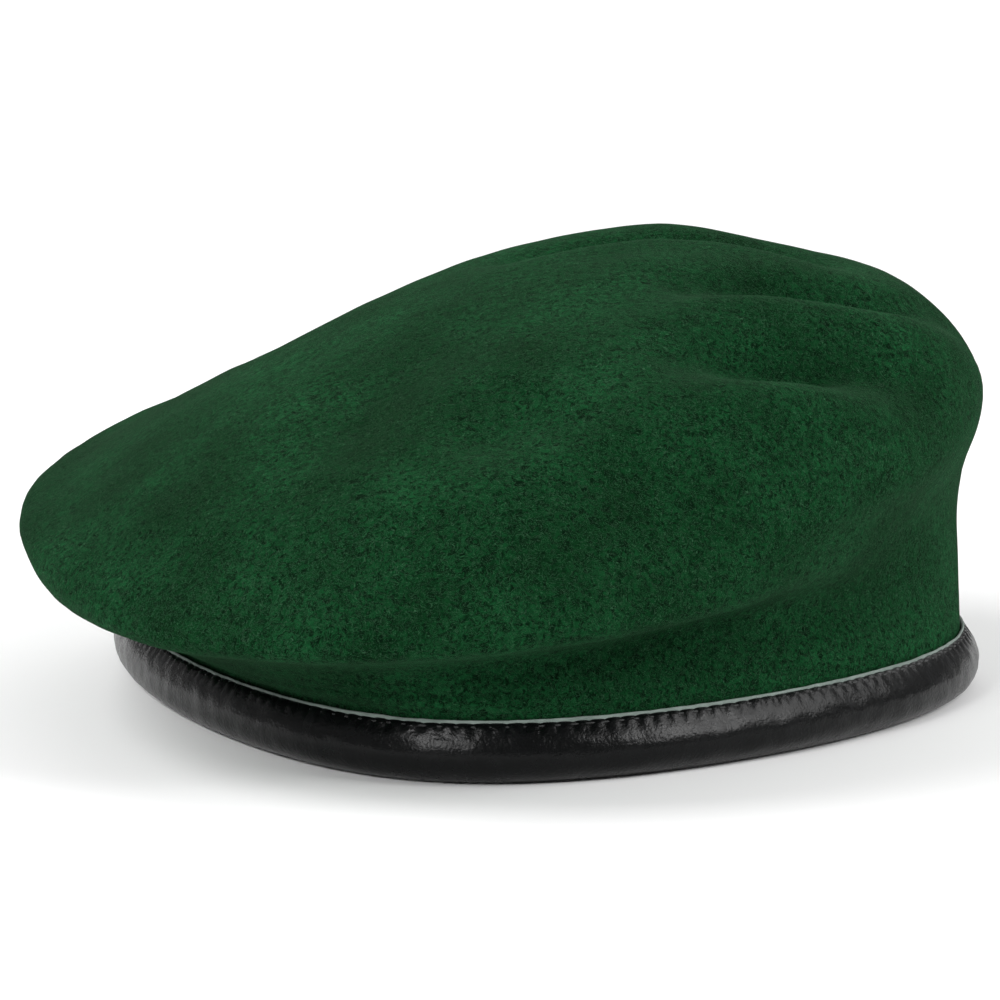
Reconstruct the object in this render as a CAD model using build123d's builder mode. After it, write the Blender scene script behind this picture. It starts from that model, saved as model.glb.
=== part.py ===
"""Military-style felt beret with a soft leather binding round its head opening.

Frame: millimetres, +Z up, origin at the centre of the head opening, in the plane that
the binding rests on. The front faces -Y, the wearer's left is +X, where the crown stands
high, and the crown is pulled down towards -X.
"""

from build123d import *
from math import cos, pi, radians, sin, sqrt
import os

os.makedirs("parts", exist_ok=True)

# ------------------------------------------------------------------ driving dimensions
HEAD_HALF_X = 95.5  # outer face of the binding, half its width
HEAD_HALF_Y = 98.0  # outer face of the binding, half its length
HEAD_EGG = 0.27  # how much narrower the forehead is than the back of the head
OUTLINE_POINTS = 20  # points that carry each closed outline

BINDING_HEIGHT = 13.0  # folded leather, from the rest plane to its top edge
BINDING_WIDTH = 5.6  # folded leather, outside to inside
BINDING_INNER_HEIGHT = 12.0  # the strip ends a little lower on the inside
LEATHER = 0.85  # thickness of the leather strip
JOIN_GAP = 0.4  # between the strip's two ends, at the back

FELT = 2.2  # thickness of the milled wool felt
FELT_OUT = -1.6  # felt's outer face at the binding, from the binding's outer face
FELT_EDGE_HEIGHT = 4.6  # the felt's cut edge, inside the binding
BEND_HEIGHT = 14.4  # the felt is upright up to here, then leans out

TAPE = 0.5  # thickness of the edge tape
TAPE_GAP = 0.1  # between the felt and the tape
TAPE_LOW = 7.5
TAPE_HIGH = 14.1  # stands about a millimetre above the leather

CORD_RADIUS = 1.2  # drawcord
CORD_HEIGHT = 2.6
KNOT_RADIUS = 1.6
KNOT_LENGTH = 4.5
THREAD_RADIUS = 0.22
THREAD_SIDES = 8  # a twisted thread isn't a true cylinder, so its section is a polygon
CORD_SIDES = 12
THREAD_GAP = 0.1  # between a thread and the face that it lies on

LINING = 0.4  # thickness of the lining cloth
LINING_DEPTH = 3.9  # from the felt's outer face to the lining, in the crown
LINING_EDGE_DEPTH = 2.4  # the same inside the binding
LINING_LOW = 5.2
STIFFENER = 0.8  # thickness of the fibre sheet behind a badge
STIFFENER_DEPTH = 2.5
STIFFENER_WIDTH = 72.0
STIFFENER_LOW = 33.0
STIFFENER_HIGH = 74.0
STIFFENER_TURN = -52.0  # degrees from +X towards the front

LABEL_WIDTH = 26.0
LABEL_HEIGHT = 21.0
LABEL = 0.3
LABEL_LOW = 8.6

# The crown's outer surface passes through these closed outlines. Each row gives the
# centre x, centre y, height, rise along x, rise along y, half width, half length,
# egg shape, and how far the surface's normal points up from the horizontal, in degrees.
CROWN_RINGS = [
    (-6, 0, 30, 0.06, 0.07, 101.0, 110.0, 0.25, -18),
    (-7, 0, 52, 0.10, 0.11, 108.5, 121.0, 0.12, 8),
    (-7, 0, 68, 0.19, 0.10, 95.0, 108.0, 0.08, 42),
    (0, 2, 83, 0.18, 0.08, 66.0, 80.0, 0.05, 62),
    (10, 4, 95, 0.14, 0.11, 34.5, 44.0, 0.00, 74),
    (18, 6, 100, 0.12, 0.06, 12.0, 14.0, 0.00, 84),
]
RING_STEPS = 3  # straight strips of surface between one ring and the next
RIM_RING = 1  # the row of CROWN_RINGS at the crown's widest line, counted from 0


# ------------------------------------------------------------------ outlines
def egg_point(half_x, half_y, egg, angle, out=0.0):
    """A point of the egg-shaped outline, moved outwards from it by out."""
    x = half_x * cos(angle) * (1 + egg * sin(angle))
    y = half_y * sin(angle)
    dx = half_x * (-sin(angle) + egg * cos(2 * angle))
    dy = half_y * cos(angle)
    length = sqrt(dx * dx + dy * dy)
    return (x + out * dy / length, y - out * dx / length)


def egg_points(half_x, half_y, egg, out=0.0):
    """Points evenly round the outline, for a periodic spline."""
    turns = [2 * pi * i / OUTLINE_POINTS for i in range(OUTLINE_POINTS)]
    return [egg_point(half_x, half_y, egg, turn, out) for turn in turns]


def outline_face(plane, half_x, half_y, egg, out=0.0):
    """The filled outline on a plane."""
    with BuildSketch(plane) as outline:
        with BuildLine():
            Spline(*egg_points(half_x, half_y, egg, out), periodic=True)
        make_face()
    return outline.sketch.face()


def head_face(height, out):
    """The head opening's filled outline, moved outwards by out from the binding."""
    plane = Plane.XY.offset(height)
    return outline_face(plane, HEAD_HALF_X, HEAD_HALF_Y, HEAD_EGG, out)


def head_path(out, height):
    """The closed line round the head opening, moved outwards by out."""
    flat = egg_points(HEAD_HALF_X, HEAD_HALF_Y, HEAD_EGG, out)
    with BuildLine() as line:
        Spline(*[(x, y, height) for x, y in flat], periodic=True)
    return line.wire()


def cut_at_back(gap):
    """Opens a ring of the current part at the back of the head."""
    with Locations((0, HEAD_HALF_Y - BINDING_WIDTH / 2, BINDING_HEIGHT / 2)):
        Box(gap, 2 * BINDING_WIDTH, 2 * BINDING_HEIGHT, mode=Mode.SUBTRACT)


# ------------------------------------------------------------------ crown surfaces
def ring_plane(ring, depth=0.0):
    """The tilted plane of one of the crown's rings, for a surface inset by depth."""
    x, y, height, rise_x, rise_y = ring[:5]
    down = depth * sin(radians(ring[8]))
    origin = (x, y, height - down)
    return Plane(origin=origin, x_dir=(1, 0, rise_x), z_dir=(-rise_x, -rise_y, 1))


def ring_size(ring, depth=0.0):
    """Half width, half length and egg shape of a ring, for a surface inset by depth."""
    inward = depth * cos(radians(ring[8]))
    return (ring[5] - inward, ring[6] - inward, ring[7])


def smooth_rings(rings, steps):
    """The rings with more between them, on a smooth curve through each number."""
    fine = [rings[0]]
    for i in range(len(rings) - 1):
        before = rings[max(i - 1, 0)]
        after = rings[min(i + 2, len(rings) - 1)]
        for step in range(1, steps + 1):
            t = step / steps
            ring = []
            for p0, p1, p2, p3 in zip(before, rings[i], rings[i + 1], after):
                curve = (2 * p0 - 5 * p1 + 4 * p2 - p3) * t**2 + (3 * p1 - p0 - 3 * p2 + p3) * t**3
                ring.append(p1 + ((p2 - p0) * t + curve) / 2)
            fine.append(tuple(ring))
    return fine


def crown_sections(depth, edge_depth, bottom):
    """The closed outlines of the crown's surface, inset by depth, from the bottom up."""
    sections = []
    for height in (bottom, BEND_HEIGHT):
        sections.append(head_face(height, FELT_OUT - edge_depth))
    for ring in smooth_rings(CROWN_RINGS, RING_STEPS):
        sections.append(outline_face(ring_plane(ring, depth), *ring_size(ring, depth)))
    return sections


def add_crown_shell(depth, thickness, edge_depth, bottom):
    """A layer of the crown, with its upright edge that reaches down into the binding."""
    below = bottom - 1
    loft(crown_sections(depth, edge_depth, bottom), ruled=True)
    inner = crown_sections(depth + thickness, edge_depth + thickness, below)
    loft(inner, ruled=True, mode=Mode.SUBTRACT)


# ------------------------------------------------------------------ felt crown
# Knitted in one piece and milled to felt, so it has no seam.
with BuildPart() as felt_crown:
    add_crown_shell(0.0, FELT, 0.0, FELT_EDGE_HEIGHT)

felt_crown.part.label = "felt_crown"
export_step(felt_crown.part, "parts/felt_crown.step")

# ------------------------------------------------------------------ lining
# Two panels of thin cloth, cut from one shape along the crown's widest line.
with BuildPart() as lining_side_panel:
    add_crown_shell(LINING_DEPTH, LINING, LINING_EDGE_DEPTH, LINING_LOW)
    split(bisect_by=ring_plane(CROWN_RINGS[RIM_RING]), keep=Keep.BOTTOM)

lining_side_panel.part.label = "lining_side_panel"
export_step(lining_side_panel.part, "parts/lining_side_panel.step")

with BuildPart() as lining_top_panel:
    add_crown_shell(LINING_DEPTH, LINING, LINING_EDGE_DEPTH, LINING_LOW)
    split(bisect_by=ring_plane(CROWN_RINGS[RIM_RING]), keep=Keep.TOP)

lining_top_panel.part.label = "lining_top_panel"
export_step(lining_top_panel.part, "parts/lining_top_panel.step")

# ------------------------------------------------------------------ badge stiffener
# A fibre sheet between the felt and the lining, over the wearer's left eye.
with BuildPart() as badge_stiffener:
    add_crown_shell(STIFFENER_DEPTH, STIFFENER, 0.0, LINING_LOW)
    with Locations(Location((0, 0, STIFFENER_LOW), (0, 0, STIFFENER_TURN))):
        Box(
            HEAD_HALF_X * 2,
            STIFFENER_WIDTH,
            STIFFENER_HIGH - STIFFENER_LOW,
            align=(Align.MIN, Align.CENTER, Align.MIN),
            mode=Mode.INTERSECT,
        )

badge_stiffener.part.label = "badge_stiffener"
export_step(badge_stiffener.part, "parts/badge_stiffener.step")

# ------------------------------------------------------------------ leather binding
# A strip folded round the felt's cut edge, with its ends meeting at the back.
BOTTOM_ROUND = 2.2
FOOT_CUT = 0.15  # taken off the fold's lowest line, for a flat foot to stand on
binding_path = head_path(-BINDING_WIDTH / 2, 0.0)
along = binding_path % 0
outwards = (along.Y, -along.X, 0)

with BuildPart() as leather_binding:
    section_plane = Plane(origin=binding_path @ 0, x_dir=outwards, z_dir=-along)
    with BuildSketch(section_plane) as section:
        with Locations((0, (BINDING_HEIGHT - FOOT_CUT) / 2)):
            Rectangle(BINDING_WIDTH, BINDING_HEIGHT + FOOT_CUT)
        fillet(section.vertices().group_by(Axis.Y)[0], BOTTOM_ROUND)
        offset(section.face(), amount=-LEATHER, mode=Mode.SUBTRACT)
        with Locations((0, BINDING_HEIGHT)):
            Rectangle(BINDING_WIDTH - 2 * LEATHER, 3 * LEATHER, mode=Mode.SUBTRACT)
        with Locations((-BINDING_WIDTH / 2, BINDING_HEIGHT)):
            inner_drop = BINDING_HEIGHT - BINDING_INNER_HEIGHT
            Rectangle(3 * LEATHER, 2 * inner_drop, mode=Mode.SUBTRACT)
    sweep(path=binding_path)
    split(bisect_by=Plane.XY, keep=Keep.TOP)
    cut_at_back(JOIN_GAP)

leather_binding.part.label = "leather_binding"
export_step(leather_binding.part, "parts/leather_binding.step")

# ------------------------------------------------------------------ edge tape
# A narrow grey tape sewn in with the leather, so that its edge shows as a fine line.
with BuildPart() as edge_tape:
    extrude(head_face(TAPE_LOW, FELT_OUT + TAPE_GAP + TAPE), TAPE_HIGH - TAPE_LOW)
    tape_hole = head_face(TAPE_LOW, FELT_OUT + TAPE_GAP)
    extrude(tape_hole, TAPE_HIGH - TAPE_LOW, mode=Mode.SUBTRACT)

edge_tape.part.label = "edge_tape"
export_step(edge_tape.part, "parts/edge_tape.step")


# ------------------------------------------------------------------ drawcord
def ring_along(path, radius, sides=THREAD_SIDES):
    """Sweeps a many-sided section along a path."""
    with BuildSketch(Plane(origin=path @ 0, z_dir=path % 0)) as section:
        RegularPolygon(radius, sides)
    sweep(section.sketch, path=path)


# It lies in the fold under the felt's cut edge, with its ends knotted at the back.
CORD_OUT = -BINDING_WIDTH / 2

with BuildPart() as drawcord:
    ring_along(head_path(CORD_OUT, CORD_HEIGHT), CORD_RADIUS, CORD_SIDES)
    cut_at_back(KNOT_LENGTH + 2 * THREAD_GAP)

drawcord.part.label = "drawcord"
export_step(drawcord.part, "parts/drawcord.step")

with BuildPart() as drawcord_knot:
    with Locations((0, HEAD_HALF_Y + CORD_OUT, CORD_HEIGHT)):
        Cylinder(KNOT_RADIUS, KNOT_LENGTH, rotation=(0, 90, 0))
    fillet(drawcord_knot.edges().filter_by(GeomType.CIRCLE), KNOT_RADIUS / 2)

drawcord_knot.part.label = "drawcord_knot"
export_step(drawcord_knot.part, "parts/drawcord_knot.step")

# ------------------------------------------------------------------ seams
SEAM_OUT = THREAD_RADIUS + THREAD_GAP
SEAM_HEIGHT = 12.2
HEM_OUT = -BINDING_WIDTH - SEAM_OUT
HEM_HEIGHT = 10.6

# The seam under the leather's top edge, through tape and felt.
with BuildPart() as binding_seam_thread:
    ring_along(head_path(SEAM_OUT, SEAM_HEIGHT), THREAD_RADIUS)

binding_seam_thread.part.label = "binding_seam_thread"
export_step(binding_seam_thread.part, "parts/binding_seam_thread.step")

# The seam that closes the binding on its inner face.
with BuildPart() as binding_hem_thread:
    ring_along(head_path(HEM_OUT, HEM_HEIGHT), THREAD_RADIUS)

binding_hem_thread.part.label = "binding_hem_thread"
export_step(binding_hem_thread.part, "parts/binding_hem_thread.step")

# Stitches that draw the two ends of the leather together at the back.
JOIN_STITCHES = 5
JOIN_STITCH_LENGTH = 3.0
JOIN_PITCH = 1.9

with BuildPart() as binding_join_thread:
    back = (0, HEAD_HALF_Y + SEAM_OUT, SEAM_HEIGHT / 2)
    with Locations(Plane(origin=back, x_dir=(0, 1, 0), z_dir=(1, 0, 0))):
        with GridLocations(1, JOIN_PITCH, 1, JOIN_STITCHES):
            Cylinder(THREAD_RADIUS, JOIN_STITCH_LENGTH)

binding_join_thread.part.label = "binding_join_thread"
export_step(binding_join_thread.part, "parts/binding_join_thread.step")

# The seam between the lining's two panels, on its inner face.
SEAM_DEPTH = LINING_DEPTH + LINING + 2 * SEAM_OUT
rim = CROWN_RINGS[RIM_RING]

with BuildPart() as lining_seam_thread:
    seam_face = outline_face(ring_plane(rim, SEAM_DEPTH), *ring_size(rim, SEAM_DEPTH))
    ring_along(seam_face.outer_wire(), THREAD_RADIUS)

lining_seam_thread.part.label = "lining_seam_thread"
export_step(lining_seam_thread.part, "parts/lining_seam_thread.step")

# ------------------------------------------------------------------ size label
# A blank woven tab, caught in the hem at the back and standing up inside the cap.
LABEL_Y = HEAD_HALF_Y - BINDING_WIDTH - 1.9

with BuildPart() as size_label:
    with Locations((0, LABEL_Y, LABEL_LOW)):
        Box(LABEL_WIDTH, LABEL, LABEL_HEIGHT, align=(Align.CENTER, Align.MIN, Align.MIN))
    fillet(size_label.edges().filter_by(Axis.Y).group_by(Axis.Z)[-1], 1.5)

size_label.part.label = "size_label"
export_step(size_label.part, "parts/size_label.step")

with BuildPart() as size_label_thread:
    with Locations((0, LABEL_Y - SEAM_OUT, HEM_HEIGHT)):
        Cylinder(THREAD_RADIUS, LABEL_WIDTH - 2, rotation=(0, 90, 0))

size_label_thread.part.label = "size_label_thread"
export_step(size_label_thread.part, "parts/size_label_thread.step")
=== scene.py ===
"""Felt beret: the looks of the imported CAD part, laid out as an add-on and run as a script.

All lengths inside the helpers are in millimetres, in the row's frame, and become metres
where a mesh is written. The front faces -Y, the wearer's left is +X and +Z is up.
"""

import math

import bmesh
import bpy
import numpy as np
from bpy.props import FloatProperty, IntProperty, PointerProperty, StringProperty
from mathutils import Matrix, Vector, noise


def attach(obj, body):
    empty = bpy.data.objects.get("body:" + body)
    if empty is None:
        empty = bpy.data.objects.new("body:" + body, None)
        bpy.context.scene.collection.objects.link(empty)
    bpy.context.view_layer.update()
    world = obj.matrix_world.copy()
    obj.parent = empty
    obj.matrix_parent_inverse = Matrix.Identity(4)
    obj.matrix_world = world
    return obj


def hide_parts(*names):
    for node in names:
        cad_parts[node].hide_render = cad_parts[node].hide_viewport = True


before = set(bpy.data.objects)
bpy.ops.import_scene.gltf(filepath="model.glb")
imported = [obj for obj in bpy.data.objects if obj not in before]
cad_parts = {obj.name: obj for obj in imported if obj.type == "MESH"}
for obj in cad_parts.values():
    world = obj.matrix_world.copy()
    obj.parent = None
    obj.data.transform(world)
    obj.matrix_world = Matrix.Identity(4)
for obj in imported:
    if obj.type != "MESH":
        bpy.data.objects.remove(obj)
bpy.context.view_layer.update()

bl_info = {
    "name": "Felt beret",
    "version": (1, 0, 0),
    "blender": (4, 5, 0),
    "location": "View3D > Sidebar > Beret",
    "description": "Builds a felt beret with a leather binding, its lining and its stage",
    "category": "Object",
}

MM = 0.001
BODY = "root"

# ------------------------------------------------------------------ the hat's form
# The binding's outer face: centre x, centre y, half width, half length and egg shape,
# which makes the forehead narrower than the back of the head.
BINDING_TOP = (0.0, 0.0, 95.3, 98.3, 0.32)
BINDING_FOOT = (0.2, 0.8, 95.4, 97.8, 0.31)
BINDING_SKEW = -0.09  # the soft ring is pushed back on the draped side
BINDING_HEIGHT = 13.0
FELT_OUT = -1.6  # felt's outer face at the binding, from the binding's outer face
FELT_FOOT = 5.0  # the felt's cut edge, inside the binding
FELT_BEND = 14.2  # the felt is upright up to here, then leans out
LINING_DEPTH = 3.5  # from the felt's outer face to the lining's outer face
LINING_THICKNESS = 0.35
STIFFENER_DEPTH = 2.5  # from the felt's outer face to the stiffener's outer face
STIFFENER_THICKNESS = 0.7
STIFFENER_MIDDLE = 52  # degrees clockwise from the wearer's left, seen from above
STIFFENER_SHARE = 0.124  # of the way round the head
LEATHER_THICKNESS = 0.85
LABEL_THICKNESS = 0.3
HEM_HEIGHT = 10.6  # of the seams on the binding's inner face
CORD_MIDDLE = (-2.6, 2.4)  # out and height, inside the binding's fold
CORD_RADIUS = 1.1

# The crown's outer surface passes through these closed outlines. Each row gives the
# centre x, centre y, height, rise along x, rise along y, half width, half length and
# egg shape.
CROWN_RINGS = (
    (-6, 0, 30, 0.06, 0.07, 99.5, 110, 0.25),
    (-7, 0, 52, 0.10, 0.11, 108.5, 121, 0.12),
    (-7, 0, 68, 0.19, 0.10, 95.0, 108, 0.08),
    (0, 2, 83, 0.18, 0.08, 66.0, 80, 0.05),
    (10, 4, 95, 0.14, 0.11, 34.5, 44, 0.0),
    (18, 6, 100, 0.12, 0.06, 12.0, 14, 0.0),
    (18, 6, 100.6, 0, 0, 0.0, 0, 0.0),
)
UPRIGHT_ROWS = 3  # rows of the profile below the first ring: foot, middle and bend
RIM_ROW = UPRIGHT_ROWS + 1
PROFILE_ROWS = UPRIGHT_ROWS + len(CROWN_RINGS)
WHOLE_ROWS = 170  # rows of the whole crown that every layer is cut from
POLE_ROWS = 12  # rows at the top where the columns run together
LOW_ROW_SHARE = 0.42  # share of those rows that lie below the rim, where the folds are tight

# Folds pressed into the crown: a line of points on the felt, how far it lifts the
# surface along its normal (negative for a valley) and half its width.
FOLDS = (
    # The high side: low crests with a dimple and deep valleys between them.
    (((34, -46, 90), (46, -28, 94), (60, -20, 93), (79, -9, 88), (91, 8, 83)), 1.6, 5.0),
    (((50, -53, 87), (64, -41, 86), (76, -32, 83), (89, -18, 79)), -10.0, 7.5),
    (((42, -16, 97), (58, -4, 97), (70, 4, 94), (82, 14, 90), (90, 30, 84)), -7.5, 6.5),
    (((-6, 0, 97), (10, 6, 99), (26, 13, 101), (42, 16, 101), (60, 22, 98)), 1.0, 6.0),
    (((-4, 22, 98), (20, 29, 100), (40, 31, 100), (60, 33, 97)), -7.5, 6.0),
    (((10, 52, 99), (30, 54, 99), (46, 52, 96)), 0.6, 12.0),
    (((51, -67, 80), (64, -60, 79), (78, -50, 75), (88, -34, 73)), 1.8, 6.0),
    # Wide shallow dents down the front.
    (((-12, -39, 86), (-20, -69, 75), (-28, -89, 63)), -3.5, 13.0),
    (((23, -69, 82), (13, -81, 77), (2, -91, 70)), -5.0, 11.0),
    (((36, -86, 75), (46, -92, 66), (56, -89, 57)), -4.0, 12.0),
    # The back, the draped side's rear and the high side's wall.
    (((-40, 70, 78), (0, 82, 82), (40, 78, 82)), -4.0, 12.0),
    (((-70, 30, 66), (-40, 50, 80)), -3.0, 13.0),
    (((94, 30, 46), (92, -28, 46), (76, -66, 48)), -2.5, 11.0),
    (((88, -6, 82), (96, 14, 77), (97, 34, 73)), 2.0, 10.0),
)

# The lower front, where the felt tucks in over the binding and the drape hangs over it.
# Each row gives the angle round the head in degrees, how far the felt tucks in above the
# binding, the height of the tuck, and how far the fold above it stands out.
TUCKS = (
    (-200, 0.0, 22, 0.0),
    (-165, 2.0, 19, -1.0),
    (-140, 5.0, 20, 1.5),
    (-115, 8.5, 22, 5.0),
    (-95, 9.5, 24, 5.5),
    (-75, 9.5, 27, 5.5),
    (-55, 8.0, 29, 4.5),
    (-35, 4.5, 29, 2.0),
    (-10, 2.0, 28, 0.5),
    (20, 0.0, 24, 0.0),
)
TUCK_HALF_HEIGHT = 7.5
FOLD_ABOVE_TUCK = 12.0
FOLD_HALF_HEIGHT = 6.0
FOLD_DROP = 0.7  # how far the fold sinks for each millimetre that it stands out
FREE_HEIGHT = 5.0  # above the bend, where the felt comes free of the binding
FOLD_FALLOFF = 0.7  # how fast a pressed fold fades sideways
FOLD_END_SHARE = 0.35  # how much of a fold's height is left at its ends

# Soft unevenness: how high it stands, the size of its lumps and its seed.
FELT_WAVES = ((0.35, 26, 1), (0.2, 9, 2))
LEATHER_SWELL = ((0.35, 19, 3), (0.2, 5, 4))
LEATHER_CREASE = 0.05
SEAM_HEIGHT = 12.7
PUCKER_HALF_HEIGHT = 0.9
PUCKER_DEPTH = 0.55  # how far each stitch of the top seam pulls the leather in

# Each box light: name, azimuth, elevation, distance in metres, width, height and power.
LIGHTS = (
    ("left_softbox", -82, 42, 1.5, 1.0, 1.0, 17),
    ("right_softbox", 98, 34, 1.5, 0.8, 0.8, 9),
    ("front_left_strip", -14, 27, 1.4, 0.42, 0.3, 8),
    ("front_right_strip", 74, 27, 1.4, 0.42, 0.3, 6.5),
    ("floor_light", 180, 35, 2.8, 3.4, 1.6, 46),
)
WORLD_STRENGTH = 0.24
CAMERA_TARGET = (-4.1, -0.9, 43.9)
CAMERA_SENSOR = 36
CAMERA_LENS = 190.6
FLOOR_RADIUS = 6  # metres


def outline(shape, angles, out):
    """Points of an egg-shaped outline, moved outwards by out, as two arrays."""
    centre_x, centre_y, half_x, half_y, egg = shape
    x = half_x * np.cos(angles) * (1 + egg * np.sin(angles))
    y = half_y * np.sin(angles)
    dx = half_x * (-np.sin(angles) + egg * np.cos(2 * angles))
    dy = half_y * np.cos(angles)
    length = np.hypot(dx, dy)
    x, y = x + out * dy / length, y - out * dx / length
    return centre_x + x, centre_y + y + BINDING_SKEW * x


def binding_points(angles, out, height):
    """Points on or near the binding, which leans outwards to the front."""
    share = height / BINDING_HEIGHT
    foot = np.array(outline(BINDING_FOOT, angles, out))
    top = np.array(outline(BINDING_TOP, angles, out))
    x, y = foot + (top - foot) * share
    return np.stack([x, y, np.broadcast_to(height, x.shape)], -1)


def even_angles(count):
    """Angles that divide the binding's top outline into equal lengths, and its length."""
    dense = np.linspace(-math.pi / 2, 3 * math.pi / 2, 2001)
    x, y = outline(BINDING_TOP, dense, 0.0)
    run = np.concatenate([[0], np.cumsum(np.hypot(np.diff(x), np.diff(y)))])
    return np.interp(np.arange(count) / count * run[-1], run, dense), run[-1]


def smooth_through(rows, where):
    """Values on a smooth curve through rows that doesn't swing past them.

    Each row's tangent is the harmonic mean of its two slopes, or none where they disagree.
    """
    slope = np.diff(rows, axis=0)
    before, after = slope[:-1], slope[1:]
    inner = np.where(before * after > 0, before * after, 0)
    total = np.where(np.abs(before + after) > 1e-9, before + after, 1)
    tangent = np.concatenate([slope[:1], 2 * inner / total, slope[-1:]])
    i = np.clip(where.astype(int), 0, len(rows) - 2)
    t = (where - i).reshape(-1, *[1] * (rows.ndim - 1))
    return (
        (1 + 2 * t) * (1 - t) ** 2 * rows[i]
        + t * (1 - t) ** 2 * tangent[i]
        + t * t * (3 - 2 * t) * rows[i + 1]
        + t * t * (t - 1) * tangent[i + 1]
    )


def crown_profile(angles):
    """The crown's key points at each angle: the upright edge, then every ring."""
    rows = []
    for height in (FELT_FOOT, 9.5, FELT_BEND):
        rows.append(binding_points(angles, FELT_OUT, min(height, BINDING_HEIGHT)))
        rows[-1][:, 2] = height
    for x, y, height, rise_x, rise_y, half_x, half_y, egg in CROWN_RINGS:
        px = half_x * np.cos(angles) * (1 + egg * np.sin(angles))
        py = half_y * np.sin(angles)
        rows.append(np.stack([x + px, y + py, height + rise_x * px + rise_y * py], -1))
    return np.array(rows)


def surface_normals(points):
    """Outward normals of a grid of points, rows upwards and columns anticlockwise."""
    up = np.gradient(points, axis=0)
    around = np.roll(points, -1, axis=1) - np.roll(points, 1, axis=1)
    normals = np.cross(around, up)
    normals /= np.maximum(np.linalg.norm(normals, axis=2, keepdims=True), 1e-9)
    # Near the pole the columns run together, so the rows there share one direction.
    share = np.linspace(0, 1, POLE_ROWS)[:, None, None]
    top = normals[-POLE_ROWS - 2].mean(axis=0)
    normals[-POLE_ROWS:] = (1 - share) * normals[-POLE_ROWS:] + share * top
    return normals / np.linalg.norm(normals, axis=2, keepdims=True)


def distance_along(points, line):
    """Distance from each point to a line of points, and how far along it, 0 to 1."""
    best = np.full(len(points), 1e9)
    along = np.zeros(len(points))
    for i, (a, b) in enumerate(zip(line[:-1], line[1:])):
        a, b = np.array(a, float), np.array(b, float)
        t = np.clip((points - a) @ (b - a) / ((b - a) @ (b - a)), 0, 1)
        reach = np.linalg.norm(points - a - t[:, None] * (b - a), axis=1)
        nearer = reach < best
        best = np.where(nearer, reach, best)
        along = np.where(nearer, (i + t) / (len(line) - 1), along)
    return best, along


def fold_lift(points):
    """How far the folds move each point of the felt along its normal."""
    lift = np.zeros(len(points))
    for line, height, half_width in FOLDS:
        reach, along = distance_along(points, line)
        ends = FOLD_END_SHARE + (1 - FOLD_END_SHARE) * np.sin(math.pi * along)
        lift += height * ends * np.exp(-FOLD_FALLOFF * (reach / half_width) ** 2)
    return lift


def waves(points, rows):
    """Adds up rows of smooth noise, each given by its height, lump size and seed."""
    return sum(height * waver(points, size, seed) for height, size, seed in rows)


def waver(points, size, seed):
    """Smooth noise at each point, from -1 to 1, with lumps of the given size."""
    shift = Vector((seed * 17.3, seed * 5.1, seed * 9.7))
    return np.array([noise.noise(Vector(p) / size + shift) for p in points])


def tuck_move(points):
    """How far each low point of the felt moves outwards, and how far its fold stands out."""
    angles = np.degrees(np.arctan2(points[:, 1], points[:, 0]))
    angles = np.where(angles > 90, angles - 360, angles)
    table = np.array(TUCKS, float)
    depth, height, stand = (np.interp(angles, table[:, 0], table[:, i]) for i in (1, 2, 3))
    tuck = np.exp(-(((points[:, 2] - height) / TUCK_HALF_HEIGHT) ** 2))
    fold = np.exp(-(((points[:, 2] - height - FOLD_ABOVE_TUCK) / FOLD_HALF_HEIGHT) ** 2))
    return stand * fold - depth * tuck, stand * fold


def crown_surface(columns, rows, low_row, high_row, depth=0.0):
    """The pressed and folded crown, inset by depth, as a grid of points between two rings."""
    angles = np.linspace(0, 2 * math.pi, columns + 1)[:-1]
    profile = crown_profile(angles)
    fine = np.linspace(0, PROFILE_ROWS - 1, 400)
    spread = np.linalg.norm(np.diff(smooth_through(profile, fine), axis=0), axis=2)
    run = np.concatenate([[0], np.cumsum(spread.mean(axis=1))])
    rim_run = np.interp(RIM_ROW, fine, run)
    even = np.linspace(0, 1, WHOLE_ROWS)
    runs = np.interp(even, [0, LOW_ROW_SHARE, 1], [0, rim_run, run[-1]])
    where = np.interp(runs, run, fine)
    points = smooth_through(profile, where)
    normals = surface_normals(points)
    flat = points.reshape(-1, 3)
    free = np.clip((flat[:, 2] - FELT_BEND) / FREE_HEIGHT, 0, 1)
    lift = fold_lift(flat) + waves(flat, FELT_WAVES)
    outwards, stand = tuck_move(flat)
    away = flat * (1, 1, 0)
    away /= np.maximum(np.linalg.norm(away, axis=1, keepdims=True), 1e-6)
    flat = flat + normals.reshape(-1, 3) * (lift * free)[:, None]
    flat = flat + away * (outwards * free)[:, None]
    flat[:, 2] -= FOLD_DROP * stand * free
    points = flat.reshape(points.shape)
    points = points - surface_normals(points) * depth
    low, high = np.interp([low_row, high_row], where, even)
    return smooth_through(points, np.linspace(low, high, rows) * (WHOLE_ROWS - 1))


# ------------------------------------------------------------------ mesh helpers
def new_object(name, bm, smooth=True):
    """Makes an object at the origin from a bmesh whose points are in metres."""
    mesh = bpy.data.meshes.new(name)
    for face in bm.faces:
        face.smooth = smooth
    bm.to_mesh(mesh)
    bm.free()
    piece = bpy.data.objects.new(name, mesh)
    bpy.context.scene.collection.objects.link(piece)
    return piece


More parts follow.
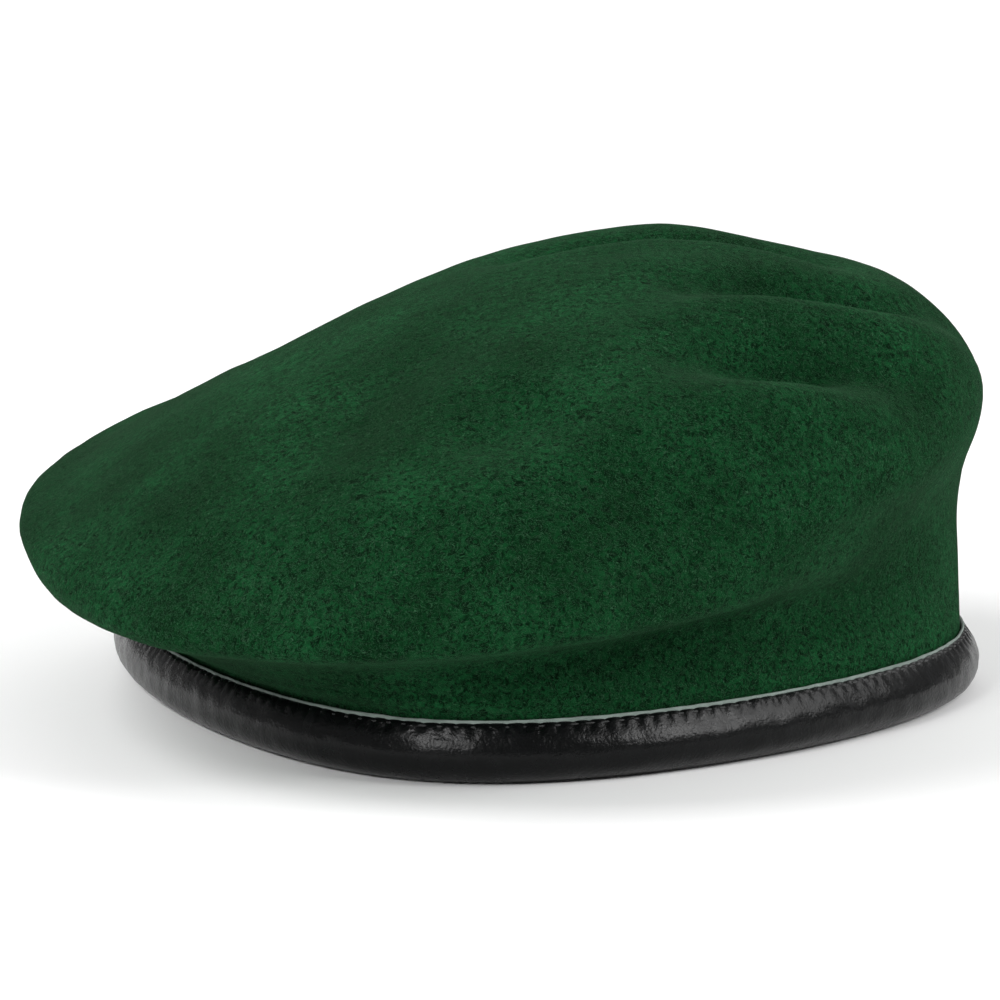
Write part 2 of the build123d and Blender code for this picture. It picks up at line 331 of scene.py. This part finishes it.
def grid_mesh(points, closed_rows=False, closed_columns=True):
    """A bmesh grid laid over a grid of points in millimetres, with its seam merged."""
    rows, columns = points.shape[:2]
    bm = bmesh.new()
    across = columns if closed_columns else columns - 1
    up = rows if closed_rows else rows - 1
    bmesh.ops.create_grid(bm, x_segments=across, y_segments=up, size=1)
    for vert in bm.verts:
        column = round((vert.co.x + 1) / 2 * across) % columns
        row = round((vert.co.y + 1) / 2 * up) % rows
        vert.co = Vector(points[row, column]) * MM
    bmesh.ops.remove_doubles(bm, verts=bm.verts, dist=1e-7)
    bmesh.ops.recalc_face_normals(bm, faces=bm.faces)
    return bm


def thicken(piece, thickness, offset):
    """Gives a sheet its thickness in millimetres, inwards at -1 and outwards at 1."""
    wall = piece.modifiers.new("thickness", "SOLIDIFY")
    wall.thickness = thickness * MM
    wall.offset = offset


def crown_layer(name, depth, thickness, columns, rows, low_row, high_row):
    """A layer of the crown, inset by depth from the felt's outer face."""
    bm = grid_mesh(crown_surface(columns, rows, low_row, high_row, depth))
    middle = Vector((0, 0, 0.04))
    outside = sum(1 if f.normal.dot(f.calc_center_median() - middle) > 0 else -1 for f in bm.faces)
    if outside < 0:
        bmesh.ops.reverse_faces(bm, faces=bm.faces)
    piece = new_object(name, bm)
    thicken(piece, thickness, -1)
    return piece


def ring_along_binding(name, section, stations, shape=None):
    """Carries a closed section, points (out, height), round the head opening."""
    angles, length = even_angles(stations)
    runs = np.arange(stations) / stations * length
    rows = []
    for out, height in section:
        outs = np.full(stations, float(out))
        heights = np.full(stations, float(height))
        if shape:
            outs, heights = shape(outs, heights, runs)
        rows.append(binding_points(angles, outs, heights))
    return new_object(name, grid_mesh(np.array(rows), closed_rows=True))


def add_stitch(bm, middle, turn, size, rings=5):
    """Adds a small rounded stroke to a bmesh, turned and sized about its middle."""
    place = Matrix.Translation(Vector(middle) * MM) @ turn @ Matrix.Diagonal((*size, 1))
    bmesh.ops.create_uvsphere(bm, u_segments=8, v_segments=rings, radius=0.5 * MM, matrix=place)


def turn_along(direction):
    """The turn that lays a stroke's length along a direction, level across."""
    along = direction.normalized()
    side = along.cross(Vector((0, 0, 1))).normalized()
    return Matrix((along, side, along.cross(side))).transposed().to_4x4()


def stitch_row(name, count, share, out, height, width):
    """A row of separate stitches round the binding, each a small rounded stroke."""
    angles, length = even_angles(count)
    middles = binding_points(angles, out, height)
    ahead = binding_points(angles + 0.01, out, height)
    bm = bmesh.new()
    for middle, toward in zip(middles, ahead):
        size = (length / count * share, width, width * 0.8)
        add_stitch(bm, middle, turn_along(Vector(toward - middle)), size)
    return new_object(name, bm)


def put(piece, material, slot, *nodes):
    """Gives a piece its material and body, and hides the CAD nodes that it stands for; slot is not
    used.
    """
    piece.data.materials.append(material)
    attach(piece, BODY)
    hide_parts(*nodes)
    return piece


# ------------------------------------------------------------------ materials
BLACK = (0, 0, 0, 1)
WHITE = (1, 1, 1, 1)
WAVE_SCALE = 0.31415  # turns cells per metre into the wave texture's scale


def linear(colour):
    """A linear RGBA colour from an sRGB hex value."""
    parts = [int(colour[i : i + 2], 16) / 255 for i in (0, 2, 4)]
    return [c / 12.92 if c <= 0.04045 else ((c + 0.055) / 1.055) ** 2.4 for c in parts] + [1]


def add_node(tree, kind, links=None, **settings):
    """Adds a node, sets its properties and sockets, and links its inputs."""
    node = tree.nodes.new("ShaderNode" + kind)
    for key, value in settings.items():
        if hasattr(node, key):
            setattr(node, key, value)
        else:
            node.inputs[key.replace("_", " ")].default_value = value
    for name, source in (links or {}).items():
        tree.links.new(source, node.inputs[name])
    return node


def new_material(name):
    """A node material with an empty tree but for its output, and object coordinates."""
    material = bpy.data.materials.new(name)
    material.use_nodes = True
    tree = material.node_tree
    tree.nodes.clear()
    output = tree.nodes.new("ShaderNodeOutputMaterial")
    place = add_node(tree, "TexCoord").outputs["Object"]
    return material, tree, output, place


def per_metre(size_mm):
    """A texture scale, in cells per metre, for cells of a size in millimetres."""
    return 1000 / size_mm


def ramp(tree, source, low, high, dark, light):
    """Maps a value between two limits to two colours."""
    node = add_node(tree, "ValToRGB", {"Fac": source})
    node.color_ramp.elements[0].position = low
    node.color_ramp.elements[0].color = dark
    node.color_ramp.elements[1].position = high
    node.color_ramp.elements[1].color = light
    return node.outputs["Color"]


def noise_texture(tree, place, size_mm, detail, roughness=0.5, distortion=0.0):
    """The values of a noise with lumps of a size in millimetres."""
    texture = add_node(tree, "TexNoise", {"Vector": place}, Scale=per_metre(size_mm))
    texture.inputs["Detail"].default_value = detail
    texture.inputs["Roughness"].default_value = roughness
    texture.inputs["Distortion"].default_value = distortion
    return texture.outputs["Fac"]


def calculate(tree, operation, *terms):
    """The result of a math node whose terms are sockets or plain numbers."""
    node = add_node(tree, "Math", operation=operation)
    for socket, term in zip(node.inputs, terms):
        if isinstance(term, (int, float)):
            socket.default_value = term
        else:
            tree.links.new(term, socket)
    return node.outputs[0]


def felt_material(settings):
    """Milled wool felt: a short nap of crossing fibres, mottled, matt, with a soft edge sheen, and
    painted shade in the hollows between the tufts.
    """
    material, tree, output, place = new_material("milled_wool_felt")
    clouds = noise_texture(tree, place, 30, 2.0)
    tufts = noise_texture(tree, place, 1.35, 3.0, 0.8, 1.0)
    fibres = noise_texture(tree, place, 2.0, 2.0, 0.6, 3.0)
    low, mid = linear(settings.felt_hollow_shade), linear(settings.felt_colour)
    bright, hair = linear(settings.felt_bright), linear(settings.felt_hair)
    # Wide clouds choose between a plain and a brighter set of tufts.
    # Each set is darkest where the tufts are low: a painted shade in the hollows between them.
    plain = ramp(tree, tufts, 0.38, 0.58, low, mid)
    brighter = ramp(tree, tufts, 0.4, 0.62, low, bright)
    cloud = ramp(tree, clouds, 0.3, 0.7, BLACK, WHITE)
    mottled = add_node(tree, "Mix", data_type="RGBA")
    tree.links.new(cloud, mottled.inputs["Factor"])
    tree.links.new(plain, mottled.inputs["A"])
    tree.links.new(brighter, mottled.inputs["B"])
    # Single fibres show as thin light lines where the noise crosses its middle value.
    away = calculate(tree, "ABSOLUTE", calculate(tree, "SUBTRACT", fibres, 0.5))
    line = ramp(tree, away, 0.0, 0.022, WHITE, BLACK)
    amount = calculate(tree, "MULTIPLY", line, 0.6)
    colour = add_node(tree, "Mix", data_type="RGBA")
    tree.links.new(amount, colour.inputs["Factor"])
    tree.links.new(mottled.outputs["Result"], colour.inputs["A"])
    colour.inputs["B"].default_value = hair
    height = calculate(tree, "ADD", tufts, amount)
    bump = add_node(tree, "Bump", {"Height": height}, Strength=0.9, Distance=0.5 * MM)
    shader = add_node(
        tree,
        "BsdfPrincipled",
        {"Base Color": colour.outputs["Result"], "Normal": bump.outputs["Normal"]},
        Roughness=0.95,
    )
    shader.inputs["Specular IOR Level"].default_value = 0.02
    shader.inputs["Sheen Weight"].default_value = 0.2
    shader.inputs["Sheen Roughness"].default_value = 0.25
    shader.inputs["Sheen Tint"].default_value = linear(settings.felt_sheen)
    tree.links.new(shader.outputs[0], output.inputs["Surface"])
    return material


def leather_material(settings):
    """Black nappa: fine pebbled grain with soft creases, dyed through, satin finish, with painted shade
    in the low parts of the creases.
    """
    material, tree, output, place = new_material("black_nappa_leather")
    pebbles = add_node(tree, "TexVoronoi", {"Vector": place}, Scale=per_metre(0.95), Randomness=1.0)
    grain = noise_texture(tree, place, 0.5, 3.0)
    creases = noise_texture(tree, place, 6, 4.0, 0.6, 0.8)
    pebble_height = calculate(tree, "MULTIPLY_ADD", pebbles.outputs["Distance"], -0.6, grain)
    first = add_node(tree, "Bump", {"Height": creases}, Strength=0.3, Distance=0.25 * MM)
    bump = add_node(
        tree,
        "Bump",
        {"Height": pebble_height, "Normal": first.outputs["Normal"]},
        Strength=0.7,
        Distance=0.1 * MM,
    )
    dark, light = linear(settings.leather_crease_shade), linear(settings.leather_colour)
    # Darker where the crease height is low: painted shade in the creases.
    colour = ramp(tree, creases, 0.3, 0.7, dark, light)
    rough = add_node(tree, "MapRange", {"Value": creases})
    rough.inputs["To Min"].default_value = 0.22
    rough.inputs["To Max"].default_value = 0.32
    shader = add_node(
        tree,
        "BsdfPrincipled",
        {"Base Color": colour, "Normal": bump.outputs["Normal"]},
    )
    tree.links.new(rough.outputs["Result"], shader.inputs["Roughness"])
    shader.inputs["IOR"].default_value = 1.45
    shader.inputs["Specular IOR Level"].default_value = 0.2
    tree.links.new(shader.outputs[0], output.inputs["Surface"])
    return material


def cloth_material(name, colour, other, thread_mm, rough, sheen):
    """A fine woven cloth: crossing threads of a given spacing, drawn as a small bump."""
    material, tree, output, place = new_material(name)
    weave = []
    for direction in ("X", "Z"):
        wave = add_node(tree, "TexWave", {"Vector": place}, bands_direction=direction)
        wave.inputs["Scale"].default_value = per_metre(thread_mm) * WAVE_SCALE
        weave.append(wave.outputs["Fac"])
    crossings = calculate(tree, "MULTIPLY", *weave)
    mottle = noise_texture(tree, place, 3, 3.0)
    tint = ramp(tree, mottle, 0.3, 0.7, linear(colour), linear(other))
    bump = add_node(tree, "Bump", {"Height": crossings}, Strength=0.4, Distance=0.12 * MM)
    shader = add_node(
        tree, "BsdfPrincipled", {"Base Color": tint, "Normal": bump.outputs["Normal"]}, Roughness=rough
    )
    shader.inputs["Sheen Weight"].default_value = sheen
    shader.inputs["Sheen Roughness"].default_value = 0.4
    tree.links.new(shader.outputs[0], output.inputs["Surface"])
    return material


def studio_material(settings):
    """Matt white paper floor."""
    material, tree, output, _ = new_material("studio_paper")
    shader = add_node(tree, "BsdfPrincipled", Roughness=0.9)
    shader.inputs["Base Color"].default_value = linear(settings.floor_colour)
    tree.links.new(shader.outputs[0], output.inputs["Surface"])
    return material


# ------------------------------------------------------------------ settings
class BeretSettings(bpy.types.PropertyGroup):
    """Sizes and colours that a user would change."""

    felt_thickness: FloatProperty(
        name="Felt thickness", description="Milled felt, in millimetres", default=2.2, min=1, max=4
    )
    felt_colour: StringProperty(name="Felt", description="Wool colour, sRGB hex", default="0A2D15")
    # Painted shade: the felt's colour in the hollows between the tufts.
    felt_hollow_shade: StringProperty(
        name="Felt, dark", description="Between the tufts, sRGB hex", default="04170A"
    )
    felt_bright: StringProperty(
        name="Felt, bright", description="Tuft tips, sRGB hex", default="194F2C"
    )
    felt_hair: StringProperty(
        name="Fibres", description="Single light fibres, sRGB hex", default="4A7A58"
    )
    felt_sheen: StringProperty(
        name="Sheen", description="Nap at the edges, sRGB hex", default="6FA57C"
    )
    leather_colour: StringProperty(name="Leather", description="Nappa, sRGB hex", default="090A0B")
    # Painted shade: the leather's colour in the low parts of the creases.
    leather_crease_shade: StringProperty(name="Leather, creases", description="sRGB hex", default="040505")
    tape_colour: StringProperty(name="Edge tape", description="Grey tape, sRGB hex", default="68746E")
    lining_colour: StringProperty(name="Lining", description="Satin lining, sRGB hex", default="15171A")
    floor_colour: StringProperty(name="Floor", description="Studio paper, sRGB hex", default="FAFAFA")
    stitch_length: FloatProperty(
        name="Stitch length", description="Binding seam, in millimetres", default=3.6, min=2, max=6
    )
    camera_azimuth: FloatProperty(
        name="Azimuth", description="Degrees round the hat from straight ahead", default=12.0
    )
    camera_elevation: FloatProperty(
        name="Elevation", description="Degrees above the horizon", default=10.0
    )
    camera_distance: FloatProperty(name="Distance", description="In metres", default=1.2, unit="LENGTH")
    crown_columns: IntProperty(
        name="Columns", description="Faces round the crown", default=300, min=60, max=400
    )


def bearing(azimuth, elevation):
    """The unit vector from the hat towards a compass azimuth and elevation, in degrees."""
    a, e = math.radians(azimuth), math.radians(elevation)
    return Vector((math.sin(a) * math.cos(e), -math.cos(a) * math.cos(e), math.sin(e)))


# ------------------------------------------------------------------ operators
class BERET_OT_stage(bpy.types.Operator):
    """Adds the camera, the soft lights and the pale floor"""

    bl_idname = "beret.stage"
    bl_label = "Stage"

    def execute(self, context):
        settings = context.scene.beret
        target = Vector(CAMERA_TARGET) * MM
        back = bearing(settings.camera_azimuth, settings.camera_elevation)
        data = bpy.data.cameras.new("camera")
        data.sensor_width = CAMERA_SENSOR
        data.lens = CAMERA_LENS
        camera = bpy.data.objects.new("camera", data)
        camera.location = target + back * settings.camera_distance
        camera.rotation_euler = back.to_track_quat("Z", "Y").to_euler()
        context.scene.collection.objects.link(camera)
        context.scene.camera = camera
        context.scene.view_settings.view_transform = "Standard"

        for name, azimuth, elevation, distance, width, height, power in LIGHTS:
            lamp = bpy.data.lights.new(name, "AREA")
            lamp.shape = "RECTANGLE"
            lamp.size = width
            lamp.size_y = height
            lamp.energy = power
            light = bpy.data.objects.new(name, lamp)
            away = bearing(azimuth, elevation)
            light.location = target + away * distance
            # The floor light hangs behind the hat and keeps pointing straight down.
            if name != "floor_light":
                light.rotation_euler = away.to_track_quat("Z", "Y").to_euler()
            context.scene.collection.objects.link(light)

        world = bpy.data.worlds.new("studio")
        world.use_nodes = True
        background = world.node_tree.nodes["Background"]
        background.inputs["Color"].default_value = WHITE
        background.inputs["Strength"].default_value = WORLD_STRENGTH
        context.scene.world = world

        bm = bmesh.new()
        bmesh.ops.create_circle(bm, cap_ends=True, segments=64, radius=FLOOR_RADIUS)
        floor = new_object("floor", bm, smooth=False)
        floor.data.materials.append(studio_material(settings))
        return {"FINISHED"}


class BERET_OT_felt(bpy.types.Operator):
    """Adds the felt crown with its pressed folds"""

    bl_idname = "beret.felt"
    bl_label = "Felt crown"

    def execute(self, context):
        settings = context.scene.beret
        top = PROFILE_ROWS - 1
        felt = crown_layer(
            "felt_body", 0.0, settings.felt_thickness, settings.crown_columns, 150, 0, top
        )
        put(felt, felt_material(settings), "green_felt", "felt_crown")
        # Pressed flat, the blank is two discs joined at the rim, one with the head's hole.
        return {"FINISHED"}


class BERET_OT_binding(bpy.types.Operator):
    """Adds the folded leather binding, the grey edge tape and their stitches"""

    bl_idname = "beret.binding"
    bl_label = "Leather binding"

    def execute(self, context):
        settings = context.scene.beret
        _, length = even_angles(8)
        stitches = round(length / settings.stitch_length)

        # The strip's middle line from the outer top edge, round the foot, up inside.
        middle = np.array(
            [(-0.95, 13.2), (-0.2, 12.7), (0.7, 11.3), (1.8, 9.2), (2.5, 6.8), (2.3, 4.4)]
            + [(0.7, 1.9), (-2.2, 0.55), (-4.9, 0.9), (-6.1, 3.2), (-6.0, 7.5), (-5.5, 12)],
            float,
        )
        line = smooth_through(middle, np.linspace(0, len(middle) - 1, 26))
        across = np.gradient(line, axis=0)
        across = np.stack([-across[:, 1], across[:, 0]], 1)
        across /= np.linalg.norm(across, axis=1, keepdims=True)
        half = LEATHER_THICKNESS / 2
        section = np.concatenate([line - across * half, (line + across * half)[::-1]])

        def puff(outs, heights, runs):
            """Pulls the top in at each stitch and lets the wall swell unevenly."""
            pull = np.cos(math.pi * runs / settings.stitch_length) ** 6
            near_top = math.exp(-(((heights[0] - SEAM_HEIGHT) / PUCKER_HALF_HEIGHT) ** 2))
            spots = np.stack([runs, heights * 2, outs * 0], 1)
            swell = waves(spots, LEATHER_SWELL)
            crease = LEATHER_CREASE * waver(spots * (1, 0.3, 1), 2.2, 5)
            # The inner face swells less, and the foot that it stands on stays flat.
            outer = 1.0 if outs[0] > -2.8 else 0.3
            rise = 0.0 if heights[0] < 1.5 else 1.0
            moved = outs + outer * rise * (swell + crease - PUCKER_DEPTH * near_top * pull)
            return moved, heights

        strip = ring_along_binding("leather_band", section, stitches * 5, puff)
        put(strip, leather_material(settings), "black_leather", "leather_binding")

        tape_section = [
            *[(-1.45, 8), (-0.95, 8), (-0.75, 13.2)],
            *[(-0.55, 14.0), (-0.75, 14.15), (-1.3, 13.6)],
        ]

        def fray(outs, heights, runs):
            """Lets the tape's edge waver a little in height."""
            spots = np.stack([runs, heights, outs], 1)
            return outs + 0.12 * waver(spots, 4, 6), heights + 0.14 * waver(spots, 3, 7)

        tape = ring_along_binding("edge_tape_strip", tape_section, stitches * 3, fray)
        # Woven tape: matt and dry, so it reads as one pale line above the leather.
        tape_cloth = cloth_material("grey_stay_tape", settings.tape_colour, "7E8A84", 0.5, 0.85, 0.1)
        put(tape, tape_cloth, "grey_tape", "edge_tape")

        # Polyester thread: near black, with a faint shine along its twist.
        thread = cloth_material("black_sewing_thread", "141515", "202222", 0.4, 0.6, 0.3)
        seam = stitch_row("seam_stitches", stitches, 0.72, -0.25, 12.75, 0.5)
        put(seam, thread, "black_thread", "binding_seam_thread")
        hem = stitch_row("hem_stitches", stitches, 0.75, -5.75, HEM_HEIGHT, 0.5)
        put(hem, thread, "black_thread", "binding_hem_thread")

        bm = bmesh.new()
        for row in range(5):
            middle = (0, 99.6, 3.0 + 1.9 * row)
            add_stitch(bm, middle, Matrix.Rotation(0.5, 4, "Y"), (3.2, 0.5, 0.5), rings=6)
        join = new_object("join_stitches", bm)
        put(join, thread, "black_thread", "binding_join_thread")
        return {"FINISHED"}


class BERET_OT_drawcord(bpy.types.Operator):
    """Adds the drawcord that runs inside the binding, and its knot"""

    bl_idname = "beret.drawcord"
    bl_label = "Drawcord"

    def execute(self, context):
        out, height = CORD_MIDDLE
        around = np.linspace(0, 2 * math.pi, 13)[:-1]
        circle = [(CORD_RADIUS * math.cos(a), CORD_RADIUS * math.sin(a)) for a in around]
        section = [(out + x, height + y) for x, y in circle]
        cord = ring_along_binding("drawcord_loop", section, 300)
        # Braided polyester cord: near black and matt, its braid seen only up close.
        braid = cloth_material("braided_cord", "101111", "1E2020", 0.8, 0.7, 0.3)
        put(cord, braid, "black_cord", "drawcord")
        bm = bmesh.new()
        centre = Vector((0, 97.0, height))
        for turn in (-1, 0, 1):
            tilt = Matrix.Rotation(0.5 * turn, 4, "Z") @ Matrix.Rotation(math.pi / 2, 4, "Y")
            place = Matrix.Translation((centre + Vector((CORD_RADIUS * turn, 0, 0))) * MM)
            ring = bmesh.ops.create_circle(bm, segments=10, radius=0.55 * MM)["verts"]
            bmesh.ops.translate(bm, verts=ring, vec=(CORD_RADIUS * MM, 0, 0))
            bmesh.ops.rotate(bm, verts=ring, matrix=Matrix.Rotation(math.pi / 2, 3, "X"))
            edges = list({e for v in ring for e in v.link_edges})
            bmesh.ops.spin(
                bm, geom=ring + edges, axis=(0, 0, 1), steps=20, angle=2 * math.pi, use_merge=True
            )
            # Points of the earlier turns are tagged, so only the new turn moves.
            turned = [v for v in bm.verts if not v.tag]
            bmesh.ops.transform(bm, matrix=place @ tilt, verts=turned)
            for vert in turned:
                vert.tag = True
        bmesh.ops.remove_doubles(bm, verts=bm.verts, dist=1e-6)
        bmesh.ops.recalc_face_normals(bm, faces=bm.faces)
        knot = new_object("cord_knot", bm)
        put(knot, braid, "black_cord", "drawcord_knot")
        return {"FINISHED"}


class BERET_OT_lining(bpy.types.Operator):
    """Adds the two lining panels and the seam between them"""

    bl_idname = "beret.lining"
    bl_label = "Lining"

    def execute(self, context):
        settings = context.scene.beret
        # Satin: dark, with a soft shine where it turns away from the eye.
        satin = cloth_material("satin_lining", settings.lining_colour, "202328", 0.35, 0.42, 0.5)
        top = PROFILE_ROWS - 1
        panels = (
            ("lining_top", "lining_top_panel", RIM_ROW, top, 60, (0.235, 0.262), 0.0428),
            ("lining_side", "lining_side_panel", 0.1, RIM_ROW, 26, (0.065, 0.7), 0.0315),
        )
        for name, node, low, high, rows, flat, area in panels:
            panel = crown_layer(name, LINING_DEPTH, LINING_THICKNESS, 240, rows, low, high)
            put(panel, satin, "black_lining", node)

        seam_line = crown_surface(210, 3, RIM_ROW - 0.02, RIM_ROW + 0.02, LINING_DEPTH + 0.55)[1]
        bm = bmesh.new()
        for i, middle in enumerate(seam_line):
            along = Vector(seam_line[(i + 1) % len(seam_line)] - middle)
            add_stitch(bm, middle, turn_along(along), (along.length * 0.7, 0.4, 0.4))
        # Spun polyester thread: dark and nearly matt.
        thread = cloth_material("lining_thread", "1A1B1C", "26282A", 0.4, 0.6, 0.3)
        seam = new_object("lining_stitches", bm)
        put(seam, thread, "black_thread", "lining_seam_thread")
        return {"FINISHED"}


class BERET_OT_inner_parts(bpy.types.Operator):
    """Adds the badge stiffener and the blank size label"""

    bl_idname = "beret.inner_parts"
    bl_label = "Stiffener and label"

    def execute(self, context):
        columns = 240
        points = crown_surface(columns, 60, UPRIGHT_ROWS + 0.1, RIM_ROW + 0.8, STIFFENER_DEPTH)
        middle = 1 - STIFFENER_MIDDLE / 360
        first = round(columns * (middle - STIFFENER_SHARE / 2))
        last = round(columns * (middle + STIFFENER_SHARE / 2))
        bm = grid_mesh(points[:, first:last], closed_columns=False)
        bmesh.ops.reverse_faces(bm, faces=bm.faces)
        stiffener = new_object("badge_backing", bm)
        thicken(stiffener, STIFFENER_THICKNESS, 1)
        # Pressed fibre sheet: pale brown, matt and faintly mottled.
        fibre = cloth_material("pressed_fibre_sheet", "8F8570", "A2977F", 1.5, 0.9, 0.0)
        put(stiffener, fibre, "fibre_sheet", "badge_stiffener")

        angles = math.pi / 2 + np.linspace(-0.125, 0.125, 27)
        rows = []
        for height in np.linspace(8.6, 29.6, 22):
            row = binding_points(angles, -6.9 - 0.5 * math.sin(height / 5), BINDING_HEIGHT)
            row[:, 2] = height
            rows.append(row)
        label = new_object("size_tab", grid_mesh(np.array(rows), closed_columns=False))
        thicken(label, LABEL_THICKNESS, 0)
        # Woven label tape: off-white and matt, with nothing printed on it.
        tape = cloth_material("woven_label_tape", "D9D7CF", "CBC8BD", 0.4, 0.7, 0.2)
        put(label, tape, "label_tape", "size_label")

        bm = bmesh.new()
        for i in range(11):
            angle = math.pi / 2 + 0.1125 * (i - 5) / 5
            spot = binding_points(np.array([angle]), -7.9, HEM_HEIGHT)[0]
            turn = Matrix.Rotation(angle - math.pi / 2, 4, "Z")
            add_stitch(bm, spot, turn, (1.7, 0.35, 0.35))
        # Cotton thread: a shade darker than the label.
        thread = cloth_material("label_thread", "C9C7BF", "B5B2A8", 0.4, 0.6, 0.3)
        put(new_object("label_stitches", bm), thread, "label_thread", "size_label_thread")
        return {"FINISHED"}


STEPS = (
    BERET_OT_stage,
    BERET_OT_felt,
    BERET_OT_binding,
    BERET_OT_drawcord,
    BERET_OT_lining,
    BERET_OT_inner_parts,
)


class BERET_PT_panel(bpy.types.Panel):
    """Lists the beret's settings and steps"""

    bl_label = "Beret"
    bl_idname = "BERET_PT_panel"
    bl_space_type = "VIEW_3D"
    bl_region_type = "UI"
    bl_category = "Beret"

    def draw(self, context):
        for name in BeretSettings.__annotations__:
            self.layout.prop(context.scene.beret, name)
        for step in STEPS:
            self.layout.operator(step.bl_idname)


CLASSES = (BeretSettings, *STEPS, BERET_PT_panel)


def register():
    for item in CLASSES:
        bpy.utils.register_class(item)
    bpy.types.Scene.beret = PointerProperty(type=BeretSettings)


def unregister():
    del bpy.types.Scene.beret
    for item in reversed(CLASSES):
        bpy.utils.unregister_class(item)


def main():
    """Builds every piece."""
    register()
    bpy.ops.beret.stage()
    bpy.ops.beret.felt()
    bpy.ops.beret.binding()
    bpy.ops.beret.drawcord()
    bpy.ops.beret.lining()
    bpy.ops.beret.inner_parts()


if __name__ == "__main__":
    main()
